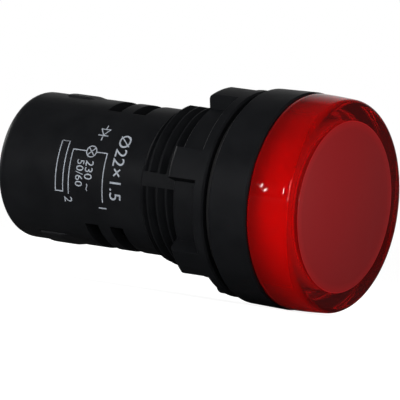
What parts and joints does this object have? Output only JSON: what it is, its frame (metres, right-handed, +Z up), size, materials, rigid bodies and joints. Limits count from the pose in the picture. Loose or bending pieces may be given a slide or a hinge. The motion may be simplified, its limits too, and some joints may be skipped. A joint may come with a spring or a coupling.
{
  "type": "panel pilot light",
  "caption": "Round panel indicator lamp with a red lens cap, threaded barrel, lugged ring nut, rubber gasket and a tubular body with screw terminals in its rear.",
  "frame": {"origin": "on the lamp's axis, in the plane of the bezel's back", "axes": "Y is the lamp's axis: the lens looks along -Y and the terminals face +Y; Z is up, X is to the right seen from the lens side"},
  "size_m": [0.0292, 0.0497, 0.029],
  "materials": {
    "black_plastic": "satin moulded",
    "red_lens": "clear red, gloss",
    "white_plastic": "matt",
    "black_rubber": "matt",
    "board_green": "solder mask",
    "led_red": "gloss",
    "yellow_plastic": "matt",
    "blue_sleeve": "shrink sleeve",
    "resistor_tan": "lacquer",
    "resistor_blue": "lacquer",
    "brass": "stamped",
    "zinc_steel": "zinc plated"
  },
  "bodies": {
    "lamp": {"housing": "black_plastic", "lens_cap": "red_lens", "diffuser": "white_plastic", "gasket": "black_rubber", "terminal_block": "black_plastic", "led_board": "board_green", "led_1": "led_red", "led_2": "led_red", "led_3": "led_red", "led_4": "led_red", "led_5": "led_red", "led_6": "led_red", "driver_board": "board_green", "board_header": "black_plastic", "dropper_capacitor": "yellow_plastic", "smoothing_capacitor": "blue_sleeve", "rectifier": "black_plastic", "inrush_resistor": "resistor_tan", "bleed_resistor": "resistor_blue", "terminal_plate_a": "brass", "terminal_plate_b": "brass"},
    "nut": {"panel_nut": "black_plastic"},
    "clamp_a": {"clamp_washer_a": "zinc_steel"},
    "screw_a": {"terminal_screw_a": "zinc_steel"},
    "clamp_b": {"clamp_washer_b": "zinc_steel"},
    "screw_b": {"terminal_screw_b": "zinc_steel"}
  },
  "joints": [
    {"name": "nut_travel", "type": "slide", "parent": "lamp", "child": "nut", "axis": [0, 1, 0], "range_m": [0, 0.0052]},
    {"name": "clamp_a_lift", "type": "slide", "parent": "lamp", "child": "clamp_a", "axis": [0, 1, 0], "range_m": [0, 0.0022]},
    {"name": "screw_a_turn", "type": "hinge", "parent": "clamp_a", "child": "screw_a", "pos_m": [0.0039, 0.0309, 0], "axis": [0, 1, 0], "range_deg": [0, 1585]},
    {"name": "clamp_b_lift", "type": "slide", "parent": "lamp", "child": "clamp_b", "axis": [0, 1, 0], "range_m": [0, 0.0022]},
    {"name": "screw_b_turn", "type": "hinge", "parent": "clamp_b", "child": "screw_b", "pos_m": [-0.0039, 0.0309, 0], "axis": [0, 1, 0], "range_deg": [0, 1585]}
  ],
  "couplings": [
    {"joint": "screw_a_turn", "follows": "clamp_a_lift", "rad_per_m": 12566},
    {"joint": "screw_b_turn", "follows": "clamp_b_lift", "rad_per_m": 12566}
  ]
}
